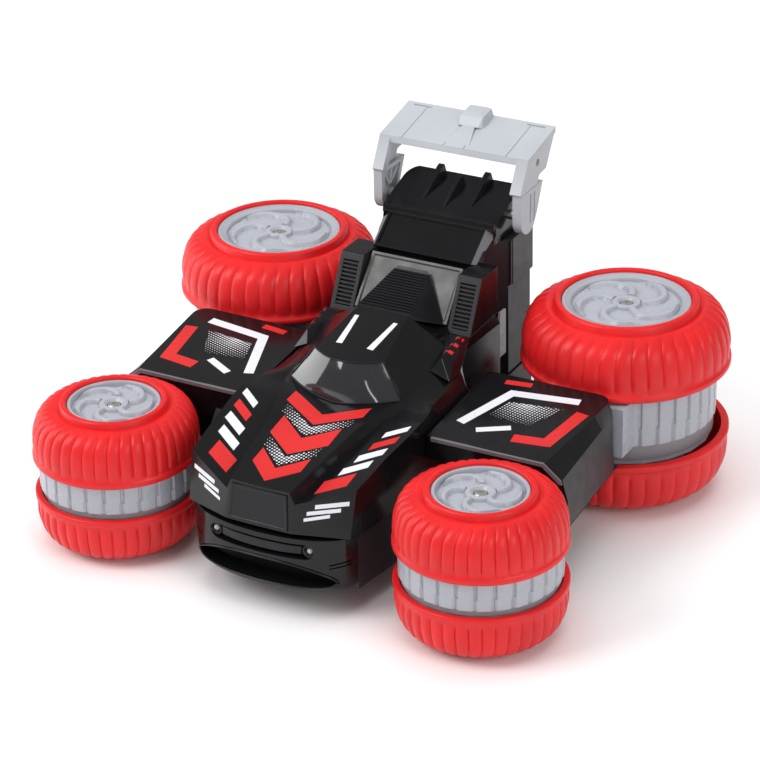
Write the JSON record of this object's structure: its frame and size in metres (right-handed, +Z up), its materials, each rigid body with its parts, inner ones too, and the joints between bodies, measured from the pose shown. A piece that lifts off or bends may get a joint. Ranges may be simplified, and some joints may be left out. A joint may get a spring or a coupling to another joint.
{
  "type": "rc stunt car",
  "caption": "Transforming radio-controlled stunt car with double-tyre wheel pods, side wings, louvred cabin and tilting rear spoiler.",
  "frame": {"origin": "on the floor under the middle of the overall length and width", "axes": "+Z up, -Y toward the nose, X across the car (symmetry plane X = 0)"},
  "size_m": [0.269, 0.2258, 0.1514],
  "materials": {
    "gloss_black": "glossy black ABS with printed decals",
    "satin_charcoal": "satin charcoal ABS",
    "warm_grey": "satin warm dark grey ABS",
    "smoked_clear": "glossy smoked dark plastic",
    "tyre_red": "soft red TPE rubber",
    "light_grey": "satin light grey ABS",
    "pale_grey": "satin pale grey ABS",
    "steel": "plated steel",
    "lens": "clear moulded lens",
    "board_green": "glass-fibre circuit board",
    "cell_blue": "blue shrink-wrapped cells"
  },
  "bodies": {
    "car_body": {"body_shell": "gloss_black", "tail_cover": "gloss_black", "chassis_tub": "satin_charcoal", "rear_tub": "satin_charcoal", "front_bumper": "gloss_black", "lamp_lens_left": "lens", "lamp_lens_right": "lens", "windshield": "smoked_clear", "roof_louver": "gloss_black", "rear_panel": "warm_grey", "side_louver_left": "satin_charcoal", "side_louver_right": "satin_charcoal", "rear_tower": "satin_charcoal", "scoop_deck": "gloss_black", "battery_pack": "cell_blue", "battery_door": "satin_charcoal", "circuit_board": "board_green", "transform_motor": "steel", "drive_motor_left": "steel", "drive_motor_right": "steel", "wing_upper_left": "gloss_black", "wing_upper_right": "gloss_black", "wing_lower_left": "satin_charcoal", "wing_lower_right": "satin_charcoal"},
    "spoiler": {"spoiler_blade": "pale_grey", "spoiler_arm_left": "pale_grey", "spoiler_arm_right": "pale_grey"},
    "power_switch": {"power_switch": "pale_grey"},
    "pod_front_left": {"gearcase_front_left": "light_grey"},
    "wheels_front_left": {"axle_front_left": "steel", "axle_screw_front_left": "steel", "drive_gear_front_left": "pale_grey", "hub_upper_front_left": "light_grey", "hub_lower_front_left": "light_grey", "tyre_upper_front_left": "tyre_red", "tyre_lower_front_left": "tyre_red"},
    "pod_rear_left": {"gearcase_rear_left": "light_grey"},
    "wheels_rear_left": {"axle_rear_left": "steel", "axle_screw_rear_left": "steel", "drive_gear_rear_left": "pale_grey", "hub_upper_rear_left": "light_grey", "hub_lower_rear_left": "light_grey", "tyre_upper_rear_left": "tyre_red", "tyre_lower_rear_left": "tyre_red"},
    "pod_front_right": {"gearcase_front_right": "light_grey"},
    "wheels_front_right": {"axle_front_right": "steel", "axle_screw_front_right": "steel", "drive_gear_front_right": "pale_grey", "hub_upper_front_right": "light_grey", "hub_lower_front_right": "light_grey", "tyre_upper_front_right": "tyre_red", "tyre_lower_front_right": "tyre_red"},
    "pod_rear_right": {"gearcase_rear_right": "light_grey"},
    "wheels_rear_right": {"axle_rear_right": "steel", "axle_screw_rear_right": "steel", "drive_gear_rear_right": "pale_grey", "hub_upper_rear_right": "light_grey", "hub_lower_rear_right": "light_grey", "tyre_upper_rear_right": "tyre_red", "tyre_lower_rear_right": "tyre_red"}
  },
  "joints": [
    {"name": "spoiler_tilt", "type": "hinge", "parent": "car_body", "child": "spoiler", "pos_m": [0, 0.0735, 0.114], "axis": [1, 0, 0], "range_deg": [-15, 25]},
    {"name": "power_slide", "type": "slide", "parent": "car_body", "child": "power_switch", "axis": [0, 1, 0], "range_m": [0, 0.004]},
    {"name": "pod_tilt_front_left", "type": "hinge", "parent": "car_body", "child": "pod_front_left", "pos_m": [-0.088, -0.0764, 0.0328], "axis": [0, -1, 0], "range_deg": [0, 90]},
    {"name": "wheel_spin_front_left", "type": "hinge", "parent": "pod_front_left", "child": "wheels_front_left", "pos_m": [-0.088, -0.0764, 0.0328], "axis": [0, 0, 1], "continuous": true},
    {"name": "pod_tilt_rear_left", "type": "hinge", "parent": "car_body", "child": "pod_rear_left", "pos_m": [-0.088, 0.0664, 0.0444], "axis": [0, -1, 0], "range_deg": [0, 90]},
    {"name": "wheel_spin_rear_left", "type": "hinge", "parent": "pod_rear_left", "child": "wheels_rear_left", "pos_m": [-0.088, 0.0664, 0.0444], "axis": [0, 0, 1], "continuous": true},
    {"name": "pod_tilt_front_right", "type": "hinge", "parent": "car_body", "child": "pod_front_right", "pos_m": [0.088, -0.0764, 0.0328], "axis": [0, 1, 0], "range_deg": [0, 90]},
    {"name": "wheel_spin_front_right", "type": "hinge", "parent": "pod_front_right", "child": "wheels_front_right", "pos_m": [0.088, -0.0764, 0.0328], "axis": [0, 0, 1], "continuous": true},
    {"name": "pod_tilt_rear_right", "type": "hinge", "parent": "car_body", "child": "pod_rear_right", "pos_m": [0.088, 0.0664, 0.0444], "axis": [0, 1, 0], "range_deg": [0, 90]},
    {"name": "wheel_spin_rear_right", "type": "hinge", "parent": "pod_rear_right", "child": "wheels_rear_right", "pos_m": [0.088, 0.0664, 0.0444], "axis": [0, 0, 1], "continuous": true}
  ],
  "couplings": [
    {"joint": "pod_tilt_front_left", "follows": "pod_tilt_rear_right", "ratio": 1},
    {"joint": "pod_tilt_rear_left", "follows": "pod_tilt_rear_right", "ratio": 1},
    {"joint": "pod_tilt_front_right", "follows": "pod_tilt_rear_right", "ratio": 1},
    {"joint": "wheel_spin_front_left", "follows": "wheel_spin_rear_left", "ratio": 1.274},
    {"joint": "wheel_spin_front_right", "follows": "wheel_spin_rear_right", "ratio": 1.274}
  ]
}
